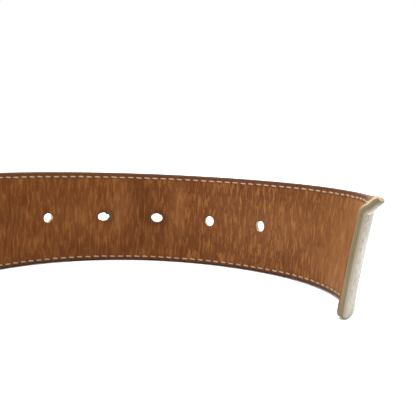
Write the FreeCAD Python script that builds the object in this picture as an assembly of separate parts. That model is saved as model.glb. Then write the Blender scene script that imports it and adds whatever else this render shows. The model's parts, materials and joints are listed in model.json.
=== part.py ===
import FreeCAD, Part
import math
import os

# A leather money belt: a three-layer strap with five prong holes, a flat zipped pocket on the side
# that is worn inwards, a prong buckle and two keepers. It stands on its lower edge, loosely rolled.
# Millimetres, +Z up. Along the belt, s runs from the buckle bar to the tip, and the offset runs from
# the lining's face outwards. Seen from above the belt turns clockwise from the bar to the tip.

# strap
strap_width = 41.0
outer_leather = 1.3
core_board = 1.1
lining_leather = 1.1
lining_edge_trim = 0.3     # the lining stops this far inside the outer leather's edges
core_edge_trim = 0.6
tip_corner_radius = 2.0

# plan of the lining's face, bar to tip: one straight run, then tangent arcs (radius, length)
buckle_run = 125.0
side_bend = (110.0, 172.8)
back_bend = (160.0, 344.0)
first_hole_bend = (73.9, 80.0)
last_hole_bend = (91.2, 51.4)
neck_bend = (63.2, 51.4)
tip_bend = (35.8, 25.8)

# prong holes
hole_count = 5
hole_spacing = 25.0
hole_radius = 2.0
tip_to_last_hole = 83.6

# stitching along both edges
stitch_margin = 2.0
thread_width = 0.6
thread_height = 0.2

# buckle end of the strap
narrow_length = 95.0       # the strap stays narrow this far from the bar
taper_length = 30.0
flap_length = 68.0         # the turned-back end of the outer leather
fold_start = 10.0          # where the two plies begin to part around the bar
slot_height = 5.0
slot_reach = 12.0          # how far the prong slot runs along each ply
thread_start_gap = 2.0     # stitching begins this far behind the flap's end

# buckle
bar_radius = 1.5
bar_fit = 0.10             # radial play of the leather loop on the bar
prong_fit = 0.05           # radial play of the prong's eye on the bar
bar_end_inset = 0.4
window_room = 1.5          # added to the strap's width, so that the tip passes through
arm_height = 2.8
eye_wall = 0.3             # metal left either side of the bar in the arms' eyes
frame_reach = 39.5         # from the bar to the frame's far side
front_bar_width = 4.2
eye_reach = 3.2            # arms run on past the bar by this much
frame_corner = 8.0
frame_round = 1.0
arm_gap = 0.3              # between the lower arm and the strap's lower edge
prong_height = 3.8
prong_thickness = 2.4
prong_wall = 1.35
prong_overhang = 1.5
prong_rest_gap = 0.4       # the point lies this far off the front bar
prong_nose = 1.0           # the point is cut back at a slant by this much
prong_chin = 0.6
prong_round = 0.7

# keepers
keeper_leather = 1.5
keeper_width = 10.0
keeper_room = 5.0          # free depth for the strap's tip
keeper_slack = 0.8         # added to the strap's width inside a keeper
keeper_corner = 2.2
fixed_keeper_at = 23.0
sliding_keeper_at = 48.0
sliding_keeper_fit = 0.3
staple_wire = 0.6
staple_crown = 8.0
staple_leg_inset = 0.1

# screws that clamp the flap
screw_places = (12.5, 34.0)
screw_head_radius = 4.3
screw_head_height = 0.9
post_radius = 2.0
screw_shank_radius = 1.3
driver_slot_width = 0.9
driver_slot_depth = 0.4

# pocket and zip, centred on the back bend
pocket_length = 300.0
pocket_height = 29.0
zip_length = 280.0
zip_slot_height = 9.0
zip_slot_end = 3.0         # the slot runs on past the teeth by this much
tape_height = 10.5
tape_thickness = 0.4
tape_overrun = 6.0
tooth_pitch = 3.2
tooth_length = 1.3
tooth_proud = 0.4          # how far a tooth stands out of the tape, each face
tooth_height = 1.95
tooth_gap = 1.3            # between the two rows, where the slider's post runs
stop_length = 2.2
zip_thread_margin = 1.6

# slider and pull
slider_length = 9.0
slider_side_fit = 0.5      # between the teeth and the slider's flanges
slider_plate = 0.4
slider_fit = 0.08          # between a slider plate and the teeth
flange_height = 0.5
flange_tape_gap = 0.1
post_length = 2.2
post_height = 0.9
post_setback = 0.4         # from the slider's end
slider_end_gap = 1.5       # slider to stop, at either end of its travel
arch_span = 6.6
arch_wall = 0.7
arch_rise = 1.95
arch_height = 2.2
pull_pin_radius = 0.45
pull_thickness = 0.9
pull_eye = 4.5             # from the pull's pin to the near edge of its tab
pull_length = 20.0
pull_height = 6.4
pull_arm_height = 1.0
pull_arm_gap = 0.4
pull_tilt = 5.0            # degrees that the tab leans away from the lining at rest
pull_round = 0.35

# tools that cut run on past the faces they open
cutter_in = -10.0
cutter_out = 15.0
cutter_depth = cutter_out - cutter_in
overcut = 1.0
skim = 0.05

up = FreeCAD.Vector(0, 0, 1)
outwards = FreeCAD.Vector(0, 1, 0)     # in local axes: from the lining to the outer leather
tolerance = 1e-6

core_offset = lining_leather
outer_offset = core_offset + core_board
face_offset = outer_offset + outer_leather
mid_height = strap_width / 2

window_height = strap_width + window_room
frame_height = window_height + 2 * arm_height
frame_thickness = 2 * (bar_radius + eye_wall)
slider_height = tooth_gap + 2 * (tooth_height + slider_side_fit + flange_height)
narrow_inset = arm_height + arm_gap
bar_offset = outer_offset / 2


def plan_runs():
    """The belt's plan as runs, each with its start distance, start point, heading, radius, length."""
    runs = []
    s, x, y, heading = 0.0, 0.0, 0.0, -math.pi / 2
    bends = (side_bend, back_bend, first_hole_bend, last_hole_bend, neck_bend, tip_bend)
    for radius, length in ((None, buckle_run),) + bends:
        runs.append((s, x, y, heading, radius, length))
        if radius is None:
            x += length * math.cos(heading)
            y += length * math.sin(heading)
        else:
            centre_x = x + radius * math.sin(heading)
            centre_y = y - radius * math.cos(heading)
            heading -= length / radius
            x = centre_x - radius * math.sin(heading)
            y = centre_y + radius * math.cos(heading)
        s += length
    return runs


runs = plan_runs()
belt_length = runs[-1][0] + runs[-1][5]
back_run = runs[2]


def run_at(s):
    """The run that distance s falls in; before the bar it is the first run, carried on straight."""
    started = [run for run in runs if run[0] <= s]
    return started[-1] if started else runs[0]


def station(s, run=None):
    """Point on the lining's face and heading at distance s from the bar."""
    start, x, y, heading, radius, length = run or run_at(s)
    along = s - start
    if radius is None:
        return x + along * math.cos(heading), y + along * math.sin(heading), heading
    turned = heading - along / radius
    return (x + radius * (math.sin(heading) - math.sin(turned)),
            y - radius * (math.cos(heading) - math.cos(turned)), turned)


def point(s, offset, z=0.0, run=None):
    x, y, heading = station(s, run)
    return FreeCAD.Vector(x - offset * math.sin(heading), y + offset * math.cos(heading), z)


def placed(shape, s):
    """Move a shape made in local axes (x towards the tip, y outwards, z up) to distance s."""
    x, y, heading = station(s)
    turn = FreeCAD.Rotation(up, math.degrees(heading))
    moved = shape.copy()
    moved.Placement = FreeCAD.Placement(FreeCAD.Vector(x, y, 0), turn).multiply(moved.Placement)
    return moved


def course(s0, s1, offset):
    """Edges that follow the belt at one offset, from s0 to s1."""
    edges = []
    for run in runs:
        start, radius, length = run[0], run[4], run[5]
        a, b = max(s0, start), min(s1, start + length)
        if b - a < tolerance:
            continue
        first, middle, last = [point(s, offset, 0, run) for s in (a, (a + b) / 2, b)]
        if radius is None:
            edges.append(Part.makeLine(first, last))
        else:
            edges.append(Part.Arc(first, middle, last).toShape())
    return edges


def closed_solid(edges, z0, z1):
    face = Part.Face(Part.Wire(Part.__sortEdges__(edges)))
    solid = face.extrude(FreeCAD.Vector(0, 0, z1 - z0))
    solid.translate(FreeCAD.Vector(0, 0, z0))
    return solid


def ribbon(s0, s1, inner, outer, z0, z1):
    """A band of the belt between two distances, two offsets and two heights."""
    edges = course(s0, s1, inner) + course(s0, s1, outer)
    edges += [Part.makeLine(point(s, inner), point(s, outer)) for s in (s0, s1)]
    return closed_solid(edges, z0, z1)


def side_prism(points, y0, y1, s=0.0):
    """A polygon in the belt's side view (x, z), made solid between two offsets, at distance s."""
    corners = [FreeCAD.Vector(x, y0, z) for x, z in points]
    face = Part.Face(Part.makePolygon(corners + corners[:1]))
    return placed(face.extrude(FreeCAD.Vector(0, y1 - y0, 0)), s)


def block(x0, x1, y0, y1, z0, z1):
    return Part.makeBox(x1 - x0, y1 - y0, z1 - z0, FreeCAD.Vector(x0, y0, z0))


def joined(solids):
    shape = solids[0]
    for other in solids[1:]:
        shape = shape.fuse(other)
    return shape.removeSplitter()


def drilled(shape, places, radius):
    """Holes through the strap at mid height, square to its face."""
    for s in places:
        drill = Part.makeCylinder(radius, cutter_depth, FreeCAD.Vector(0, cutter_in, mid_height), outwards)
        shape = shape.cut(placed(drill, s))
    return shape


def hole_places():
    return [belt_length - tip_to_last_hole - i * hole_spacing for i in range(hole_count)]


def taper_cuts():
    """What the strap loses above and below where it narrows towards the bar."""
    far, wide = 2 * cutter_in, narrow_length + taper_length
    cuts = []
    for edge, inner, outer in ((0.0, narrow_inset, -overcut),
                               (strap_width, strap_width - narrow_inset, strap_width + overcut)):
        points = [(far, outer), (far, inner), (narrow_length, inner), (wide, edge), (wide, outer)]
        cuts.append(side_prism(points, cutter_in, cutter_out))
    return cuts


def tip_cuts():
    """What the two rounded corners of the tip take away."""
    r = tip_corner_radius
    cuts = []
    for edge, centre in ((-overcut, r), (strap_width + overcut, strap_width - r)):
        corner = block(-r, overcut, cutter_in, cutter_out, min(edge, centre), max(edge, centre))
        round_part = Part.makeCylinder(r, cutter_depth, FreeCAD.Vector(-r, cutter_in, centre), outwards)
        cuts.append(placed(corner.cut(round_part), belt_length))
    return cuts


def strap_ends_shaped(shape):
    for cut in taper_cuts() + tip_cuts():
        shape = shape.cut(cut)
    return shape


def tangent_point(x, y, radius, side):
    """Where a line from (x, y) touches the circle about the bar; side is +1 outwards, -1 inwards."""
    dx, dy = x, y - bar_offset
    reach = math.hypot(dx, dy)
    angle = math.atan2(dy, dx) + side * math.acos(radius / reach)
    return FreeCAD.Vector(radius * math.cos(angle), bar_offset + radius * math.sin(angle), 0)


def fold_edges(radius, outside, inside):
    """One face of the fold, in local axes: from the strap, round the bar, to the flap's end."""
    start = FreeCAD.Vector(fold_start, outside, 0)
    back = FreeCAD.Vector(fold_start, inside, 0)
    first = tangent_point(start.x, start.y, radius, 1)
    last = tangent_point(back.x, back.y, radius, -1)
    far = FreeCAD.Vector(-radius, bar_offset, 0)
    return [Part.makeLine(start, first), Part.Arc(first, far, last).toShape(),
            Part.makeLine(last, back), Part.makeLine(back, FreeCAD.Vector(flap_length, inside, 0))]


def outer_strap():
    """The outer leather: the whole length of the belt, round the bar and back as a flap."""
    loop_inner = bar_radius + bar_fit
    loop_outer = loop_inner + outer_leather
    local = fold_edges(loop_inner, outer_offset, 0.0) + fold_edges(loop_outer, face_offset, -outer_leather)
    local.append(Part.makeLine(FreeCAD.Vector(flap_length, 0, 0),
                               FreeCAD.Vector(flap_length, -outer_leather, 0)))
    edges = [placed(edge, 0) for edge in local]
    edges += course(fold_start, belt_length, outer_offset) + course(fold_start, belt_length, face_offset)
    edges.append(Part.makeLine(point(belt_length, outer_offset), point(belt_length, face_offset)))
    strap = strap_ends_shaped(closed_solid(edges, 0, strap_width))
    half = slot_height / 2
    slot = block(cutter_in, slot_reach - half, cutter_in, cutter_out, mid_height - half, mid_height + half)
    slot_end = Part.makeCylinder(half, cutter_depth, FreeCAD.Vector(slot_reach - half, cutter_in, mid_height),
                                 outwards)
    strap = strap.cut(placed(slot, 0)).cut(placed(slot_end, 0))
    strap = drilled(strap, hole_places(), hole_radius)
    return drilled(strap, screw_places, post_radius)


def middle_of_back():
    return back_run[0] + back_run[5] / 2


def pocket_ends():
    return middle_of_back() - pocket_length / 2, middle_of_back() + pocket_length / 2


def zip_ends():
    return middle_of_back() - zip_length / 2, middle_of_back() + zip_length / 2


def core_strip():
    """The stiffening board between the leathers, with a window that forms the pocket."""
    low, high = core_edge_trim, strap_width - core_edge_trim
    whole = ribbon(fold_start, belt_length - core_edge_trim, core_offset, outer_offset, low, high)
    p0, p1 = pocket_ends()
    window = ribbon(p0, p1, core_offset - overcut, outer_offset + overcut,
                    mid_height - pocket_height / 2, mid_height + pocket_height / 2)
    core = strap_ends_shaped(whole).cut(window)
    core = drilled(core, hole_places(), hole_radius)
    return drilled(core, screw_places, post_radius)


def tape_reach():
    """Height of the tapes' outer edges above and below the middle of the zip."""
    return tooth_gap / 2 + tooth_height + tape_height


def tape_offset():
    return lining_leather - tape_thickness


def lining_strap():
    """The lining, with the zip's slot, and skived behind to take the zip's tapes."""
    low, high = lining_edge_trim, strap_width - lining_edge_trim
    lining = strap_ends_shaped(ribbon(fold_start, belt_length, 0, lining_leather, low, high))
    z0, z1 = zip_ends()
    lining = lining.cut(ribbon(z0 - zip_slot_end, z1 + zip_slot_end, -overcut, lining_leather + skim,
                               mid_height - zip_slot_height / 2, mid_height + zip_slot_height / 2))
    lining = lining.cut(ribbon(z0 - tape_overrun, z1 + tape_overrun, tape_offset(), lining_leather + skim,
                               mid_height - tape_reach(), mid_height + tape_reach()))
    lining = drilled(lining, hole_places(), hole_radius)
    return drilled(lining, screw_places, post_radius)


def edge_thread(inner, outer):
    """One thread layer: two rows beside the edges, joined across the tip."""
    low, high = stitch_margin - thread_width / 2, stitch_margin + thread_width / 2
    start = narrow_length + taper_length
    end = belt_length - stitch_margin
    body = ribbon(start, end + thread_width / 2, inner, outer, low, strap_width - low)
    body = body.cut(ribbon(start - overcut, end - thread_width / 2, inner - overcut, outer + overcut,
                           high, strap_width - high))
    rows = [body]
    first = flap_length + thread_start_gap
    for edge, side in ((0.0, 1), (strap_width, -1)):
        near, far = edge + side * (narrow_inset + low), edge + side * (narrow_inset + high)
        row = [(first, near), (narrow_length, near), (start, edge + side * low), (start, edge + side * high),
               (narrow_length, far), (first, far)]
        rows.append(side_prism(row, inner, outer))
    return joined(rows)


def needle_thread():
    return edge_thread(face_offset, face_offset + thread_height)


def bobbin_thread():
    return edge_thread(-thread_height, 0)


def zip_tape(side):
    """One tape; side is +1 above the teeth and -1 below them."""
    z0, z1 = zip_ends()
    near = mid_height + side * (tooth_gap / 2 + tooth_height)
    far = mid_height + side * tape_reach()
    return ribbon(z0 - tape_overrun, z1 + tape_overrun, tape_offset(), lining_leather,
                  min(near, far), max(near, far))


def tooth_offsets():
    return tape_offset() - tooth_proud, lining_leather + tooth_proud


def zip_teeth(side):
    """One row of teeth on its tape, the lower row half a pitch along."""
    z0, z1 = zip_ends()
    inner, outer = tooth_offsets()
    near = mid_height + side * tooth_gap / 2
    far = near + side * tooth_height
    count = int((z1 - z0 - 2 * stop_length - tooth_length) / tooth_pitch)
    first = z0 + stop_length + tooth_length + (tooth_pitch / 2 if side < 0 else 0)
    tooth = block(-tooth_length / 2, tooth_length / 2, inner, outer, min(near, far), max(near, far))
    return Part.makeCompound([placed(tooth, first + i * tooth_pitch) for i in range(count)])


def zip_bottom_stop():
    """One block across both rows, at the zip's end nearer the buckle."""
    z0, z1 = zip_ends()
    inner, outer = tooth_offsets()
    reach = tooth_gap / 2 + tooth_height
    return ribbon(z0, z0 + stop_length, inner, outer, mid_height - reach, mid_height + reach)


def zip_top_stops():
    """A stop on each row, at the zip's end nearer the tip."""
    z0, z1 = zip_ends()
    inner, outer = tooth_offsets()
    stops = []
    for side in (1, -1):
        near = mid_height + side * tooth_gap / 2
        far = near + side * tooth_height
        stops.append(ribbon(z1 - stop_length, z1, inner, outer, min(near, far), max(near, far)))
    return Part.makeCompound(stops)


def zip_thread():
    """The seam round the zip's slot, on the lining's face."""
    z0, z1 = zip_ends()
    reach = zip_slot_height / 2 + zip_thread_margin
    run_on = zip_slot_end + zip_thread_margin
    seam = ribbon(z0 - run_on, z1 + run_on, -thread_height, 0, mid_height - reach, mid_height + reach)
    return seam.cut(ribbon(z0 - run_on + thread_width, z1 + run_on - thread_width, -overcut, overcut,
                           mid_height - reach + thread_width, mid_height + reach - thread_width))


def slider_rest():
    return zip_ends()[0] + stop_length + slider_end_gap + slider_length / 2


def slider_travel():
    """Degrees that the slider turns about the back bend's axis between the zip's stops."""
    z0, z1 = zip_ends()
    free = z1 - z0 - 2 * stop_length - 2 * slider_end_gap - slider_length
    return math.degrees(free / back_run[4])


def pull_pin_offset():
    inner, outer = tooth_offsets()
    plate_face = inner - slider_fit - slider_plate
    return plate_face - (arch_rise - arch_wall) / 2


def zip_slider():
    """Two plates joined by a post between the rows, flanges over the tapes, and an arch for the pull."""
    s = slider_rest()
    a, b = s - slider_length / 2, s + slider_length / 2
    inner, outer = tooth_offsets()
    top = inner - slider_fit
    bottom = outer + slider_fit
    low, high = mid_height - slider_height / 2, mid_height + slider_height / 2
    parts = [ribbon(a, b, top - slider_plate, top, low, high),
             ribbon(a, b, bottom, bottom + slider_plate, low, high),
             ribbon(b - post_length - post_setback, b - post_setback, top, bottom,
                    mid_height - post_height / 2, mid_height + post_height / 2)]
    for edge, step in ((low, flange_height), (high, -flange_height)):
        z0, z1 = min(edge, edge + step), max(edge, edge + step)
        parts.append(ribbon(a, b, top, tape_offset() - flange_tape_gap, z0, z1))
        parts.append(ribbon(a, b, lining_leather + flange_tape_gap, bottom, z0, z1))
    face = top - slider_plate
    half, rise = arch_span / 2, face - arch_rise
    low, high = mid_height - arch_height / 2, mid_height + arch_height / 2
    arch = block(-half, half, rise, face + slider_plate / 2, low, high)
    arch = arch.cut(block(-half + arch_wall, half - arch_wall, rise + arch_wall, face, low, high))
    return joined(parts + [placed(arch, s)])


def zip_pull():
    """A flat tab on a pin that lies under the slider's arch."""
    low, high = mid_height - pull_height / 2, mid_height + pull_height / 2
    half = pull_thickness / 2
    tab = block(-pull_length, 0, -half, half, low, high)
    inner_low = mid_height - arch_height / 2 - pull_arm_gap
    inner_high = mid_height + arch_height / 2 + pull_arm_gap
    for z0, z1 in ((low, inner_low - pull_arm_height), (inner_high + pull_arm_height, high),
                   (inner_low, inner_high)):
        tab = tab.cut(block(-pull_eye, overcut, -pull_thickness, pull_thickness, z0, z1))
    long_edges = [e for e in tab.Edges
                  if e.Length > pull_height - tolerance and e.CenterOfMass.x < -pull_length / 2]
    tab = tab.makeFillet(pull_round, long_edges)
    pin = Part.makeCylinder(pull_pin_radius, inner_high - inner_low + 2 * pull_arm_height,
                            FreeCAD.Vector(0, 0, inner_low - pull_arm_height))
    pull = joined([tab, pin])
    pull.rotate(FreeCAD.Vector(0, 0, 0), up, pull_tilt)
    pull.translate(FreeCAD.Vector(0, pull_pin_offset(), 0))
    return placed(pull, slider_rest())


def rounded_panel(x0, x1, z0, z1, radius):
    """A side-view rectangle whose two corners at x0 are round, as a face at offset zero."""
    def v(x, z):
        return FreeCAD.Vector(x, 0, z)
    slant = radius * (1 - math.sqrt(0.5))
    edges = [Part.makeLine(v(x0, z0 + radius), v(x0, z1 - radius)),
             Part.Arc(v(x0, z1 - radius), v(x0 + slant, z1 - slant), v(x0 + radius, z1)).toShape(),
             Part.makeLine(v(x0 + radius, z1), v(x1, z1)),
             Part.makeLine(v(x1, z1), v(x1, z0)),
             Part.makeLine(v(x1, z0), v(x0 + radius, z0)),
             Part.Arc(v(x0 + radius, z0), v(x0 + slant, z0 + slant), v(x0, z0 + radius)).toShape()]
    return Part.Face(Part.Wire(edges))


def buckle_frame():
    """A U of metal round the window, its two arms ending in eyes that hold the bar."""
    depth = FreeCAD.Vector(0, frame_thickness, 0)
    whole = rounded_panel(-frame_reach, eye_reach, 0, frame_height, frame_corner).extrude(depth)
    window = rounded_panel(-frame_reach + front_bar_width, eye_reach + overcut, arm_height,
                           arm_height + window_height, frame_corner - front_bar_width).extrude(depth)
    frame = whole.cut(window)
    rounded = [e for e in frame.Edges
               if abs(e.Vertexes[0].Point.y - e.Vertexes[-1].Point.y) < tolerance
               and e.Length > arm_height * 1.5]
    frame = frame.makeFillet(frame_round, rounded)
    frame.translate(FreeCAD.Vector(0, bar_offset - frame_thickness / 2, 0))
    eye = Part.makeCylinder(bar_radius, frame_height + 2 * overcut, FreeCAD.Vector(0, bar_offset, -overcut))
    return placed(frame.cut(eye), 0)


def buckle_bar():
    bar = Part.makeCylinder(bar_radius, frame_height - 2 * bar_end_inset,
                            FreeCAD.Vector(0, bar_offset, bar_end_inset))
    return placed(bar, 0)


def prong():
    """An eye on the bar and a shank that lies on the frame's front bar, at the height of the holes."""
    low = mid_height - prong_height / 2
    eye_inner = bar_radius + prong_fit
    eye_outer = eye_inner + prong_wall
    root = bar_offset + eye_outer - prong_thickness
    rest = bar_offset + frame_thickness / 2 + prong_rest_gap
    end = -frame_reach - prong_overhang
    outline = [FreeCAD.Vector(0, root, low), FreeCAD.Vector(end, rest, low),
               FreeCAD.Vector(end - prong_chin, rest + prong_thickness / 2, low),
               FreeCAD.Vector(end + prong_nose, rest + prong_thickness, low),
               FreeCAD.Vector(0, root + prong_thickness, low)]
    shank = Part.Face(Part.makePolygon(outline + outline[:1])).extrude(FreeCAD.Vector(0, 0, prong_height))
    rounded = [e for e in shank.Edges if e.Length > frame_reach - prong_nose]
    shank = shank.makeFillet(prong_round, rounded)
    eye = Part.makeCylinder(eye_outer, prong_height, FreeCAD.Vector(0, bar_offset, low))
    bore = Part.makeCylinder(eye_inner, prong_height + 2 * overcut,
                             FreeCAD.Vector(0, bar_offset, low - overcut))
    return placed(joined([eye, shank]).cut(bore), 0)


def keeper_band(x, inside):
    """A closed leather band round the strap; inside is the offset of its inner side's near face."""
    height = strap_width + keeper_slack + 2 * keeper_leather
    near = inside - keeper_leather
    far = face_offset + keeper_room + keeper_leather
    half = keeper_width / 2
    band = block(-half, half, near, far, 0, height)
    band = band.makeFillet(keeper_corner, [e for e in band.Edges if abs(e.Length - keeper_width) < tolerance])
    opening = block(-half - overcut, half + overcut, inside, far - keeper_leather,
                    keeper_leather, height - keeper_leather)
    long_edges = [e for e in opening.Edges if abs(e.Length - keeper_width - 2 * overcut) < tolerance]
    opening = opening.makeFillet(keeper_corner - keeper_leather, long_edges)
    return placed(band.cut(opening), x)


def keeper_staple(x, inside):
    """A wire staple whose crown lies on the band and whose legs go through it."""
    face = inside - keeper_leather
    half = staple_crown / 2
    wire = staple_wire / 2
    crown = block(-wire, wire, face - staple_wire, face, mid_height - half, mid_height + half)
    legs = [block(-wire, wire, face - staple_wire, inside - staple_leg_inset, z, z + staple_wire)
            for z in (mid_height - half, mid_height + half - staple_wire)]
    return placed(joined([crown] + legs), x)


def stapled_keeper(x, inside):
    return keeper_band(x, inside).cut(keeper_staple(x, inside))


fixed_keeper_inside = -outer_leather
sliding_keeper_inside = -outer_leather - sliding_keeper_fit


def screw_posts():
    """Barrel nuts whose flat heads lie on the flap, inside the belt."""
    posts = []
    for s in screw_places:
        start = FreeCAD.Vector(0, -outer_leather, mid_height)
        depth = face_offset + outer_leather
        head = Part.makeCylinder(screw_head_radius, screw_head_height, start, outwards * -1)
        barrel = Part.makeCylinder(post_radius, depth, start, outwards)
        bore = Part.makeCylinder(screw_shank_radius, depth, start, outwards)
        posts.append(placed(joined([head, barrel]).cut(bore), s))
    return Part.makeCompound(posts)


def screw_heads():
    """Slotted screws that go into the barrels from the belt's outer face."""
    screws = []
    for s in screw_places:
        start = FreeCAD.Vector(0, face_offset, mid_height)
        head = Part.makeCylinder(screw_head_radius, screw_head_height, start, outwards)
        crown = face_offset + screw_head_height
        head = head.makeFillet(screw_head_height / 3,
                               [e for e in head.Edges if abs(e.CenterOfMass.y - crown) < tolerance])
        shank = Part.makeCylinder(screw_shank_radius, face_offset, start, outwards * -1)
        slot = block(-screw_head_radius, screw_head_radius, crown - driver_slot_depth, crown + overcut,
                     mid_height - driver_slot_width / 2, mid_height + driver_slot_width / 2)
        screws.append(placed(joined([head, shank]).cut(slot), s))
    return Part.makeCompound(screws)


nodes = {
    "outer_strap": outer_strap(),
    "core_strip": core_strip(),
    "lining_strap": lining_strap(),
    "needle_thread": needle_thread(),
    "bobbin_thread": bobbin_thread(),
    "zip_tape_upper": zip_tape(1),
    "zip_tape_lower": zip_tape(-1),
    "zip_teeth_upper": zip_teeth(1),
    "zip_teeth_lower": zip_teeth(-1),
    "zip_bottom_stop": zip_bottom_stop(),
    "zip_top_stops": zip_top_stops(),
    "zip_thread": zip_thread(),
    "zip_slider": zip_slider(),
    "zip_pull": zip_pull(),
    "buckle_frame": buckle_frame(),
    "buckle_bar": buckle_bar(),
    "prong": prong(),
    "fixed_keeper": stapled_keeper(fixed_keeper_at, fixed_keeper_inside),
    "fixed_keeper_staple": keeper_staple(fixed_keeper_at, fixed_keeper_inside),
    "sliding_keeper": stapled_keeper(sliding_keeper_at, sliding_keeper_inside),
    "sliding_keeper_staple": keeper_staple(sliding_keeper_at, sliding_keeper_inside),
    "screw_posts": screw_posts(),
    "screw_heads": screw_heads(),
}

box = FreeCAD.BoundBox()
for shape in nodes.values():
    box.add(shape.optimalBoundingBox())
to_origin = FreeCAD.Vector(-(box.XMin + box.XMax) / 2, -(box.YMin + box.YMax) / 2, -box.ZMin)

os.makedirs("parts", exist_ok=True)
for name, shape in nodes.items():
    shape.translate(to_origin)
    shape.exportStep(f"parts/{name}.step")
    print(f"{name}: {len(shape.Solids)} solids, {shape.Volume:.1f} mm3, valid {shape.isValid()}")


def show(label, place):
    print(f"{label}: {place.x + to_origin.x:.4f} {place.y + to_origin.y:.4f} {place.z + to_origin.z:.4f}")


show("lining face at the bar", point(0, 0))
show("bar axis", point(0, bar_offset))
back_centre = point(back_run[0], -back_run[4])
show("back bend axis", back_centre)
show("pull pin axis", point(slider_rest(), pull_pin_offset()))
print(f"slider travel {slider_travel():.3f} degrees")
print(f"belt length {belt_length:.1f}, bar to middle hole {hole_places()[hole_count // 2]:.1f}")
for i, s in enumerate(hole_places()):
    show(f"hole {i} (tip end first)", point(s, 0, mid_height))
show("tip end", point(belt_length, 0))
print(f"overall {box.XLength:.2f} x {box.YLength:.2f} x {box.ZLength:.2f}")
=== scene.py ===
import bpy
import json
import math
import random
from mathutils import Matrix, Vector, noise


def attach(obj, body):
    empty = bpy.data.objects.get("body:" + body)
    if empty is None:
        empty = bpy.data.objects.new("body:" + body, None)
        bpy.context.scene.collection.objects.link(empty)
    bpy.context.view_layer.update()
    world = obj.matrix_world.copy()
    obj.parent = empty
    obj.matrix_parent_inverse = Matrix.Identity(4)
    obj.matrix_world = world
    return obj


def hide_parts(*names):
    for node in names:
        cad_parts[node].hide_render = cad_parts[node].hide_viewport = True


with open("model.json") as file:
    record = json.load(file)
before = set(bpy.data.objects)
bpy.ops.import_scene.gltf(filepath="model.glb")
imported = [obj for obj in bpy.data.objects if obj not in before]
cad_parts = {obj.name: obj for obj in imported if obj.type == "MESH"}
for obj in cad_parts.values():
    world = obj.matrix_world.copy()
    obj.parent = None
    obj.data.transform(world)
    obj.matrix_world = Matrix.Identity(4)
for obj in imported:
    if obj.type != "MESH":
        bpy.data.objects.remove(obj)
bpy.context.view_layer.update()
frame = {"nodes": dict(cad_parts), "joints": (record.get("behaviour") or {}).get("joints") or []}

mm = 0.001
joints = {j["name"]: j for j in frame["joints"]}
barAxis = Vector(joints["buckle_swing"]["pos_m"])

# the belt's plan: a straight run from the buckle's bar, then arcs of (radius, length), turning clockwise
belt = {
    "width": 41.0 * mm,
    "lining": (0.0, 1.1 * mm),
    "core": (1.1 * mm, 2.2 * mm),
    "outer": (2.2 * mm, 3.5 * mm),
    "straight": 125.0 * mm,
    "bends": ((110.0 * mm, 172.8 * mm), (160.0 * mm, 344.0 * mm), (73.9 * mm, 80.0 * mm),
              (91.2 * mm, 51.4 * mm), (63.2 * mm, 51.4 * mm), (35.8 * mm, 25.8 * mm)),
    "narrowUntil": 95.0 * mm,
    "taper": 30.0 * mm,
    "narrowInset": 3.1 * mm,
    "tipCorner": 2.0 * mm,
    "stitchMargin": 2.0 * mm,
    "barOffset": 1.1 * mm,
    "liningTrim": 0.30 * mm,  # the inner layers stand in from the outer leather's edge
    "coreTrim": 0.25 * mm,
    "fineFrom": 655.0 * mm,   # the mesh is closer from here to the tip, for the holes and the folds
    "fineStep": 0.5 * mm,
    "step": 2.5 * mm,
    "stepUp": 1.0 * mm,
}

# how the free end of the strap has taken its own shape
tipShape = {
    "length": 123.6 * mm,     # lean and cup grow over this much of the tip
    "lean": 8.3,              # degrees, upper edge outwards
    "cup": 2.4,               # degrees more at the upper edge, less at the lower
    "lift": 0.3 * mm,
    "outwards": 0.2 * mm,
    "steps": 12,              # the tilt is added up in this many steps from the middle
    "earLength": 15.0 * mm,   # the upper corner is bent outwards over this much of the tip
    "earFrom": 16.0 * mm,     # above the middle of the strap
    "earBend": 2.2 * mm,      # height over which it turns
    "earAngle": 41.0,
    "earStretch": 1.55,       # the bent leather has stretched by this share
    "wave": 0.30 * mm,        # slow unevenness, growing from waveFrom over waveGrows
    "waveFrom": 600.0 * mm,
    "waveGrows": 60.0 * mm,
    "waveSize": (28.0 * mm, 60.0 * mm),
}

holes = {
    "count": 5,
    "spacing": 25.0 * mm,
    "toTip": 83.6 * mm,
    "patch": 4.0 * mm,
    "cleanRim": 3.0 * mm,     # an unworn hole's stain is thinner by this much
    "ragged": 0.05,           # share of the radius
    "rings": (0.35, 0.65, 0.85, 0.94, 1.0),   # mesh lines between the patch's border and the hole
    # from the buckle's side: half length, half height, shift along, wear from 0 to 1
    "shapes": ((2.15, 2.05, 0.0, 0.15), (2.65, 1.85, 0.45, 0.75), (2.60, 1.95, 0.0, 1.0),
               (2.05, 2.2, 0.0, 0.3), (2.1, 2.35, 0.0, 0.2)),
    # loose fibres that stand into a hole: hole, direction in degrees, spread, share of the radius
    "fibres": ((0, -48.0, 20.0, 0.20), (1, 55.0, 16.0, 0.26), (1, -25.0, 12.0, 0.12), (2, 62.0, 12.0, 0.12),
               (4, 205.0, 18.0, 0.14)),
}

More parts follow.
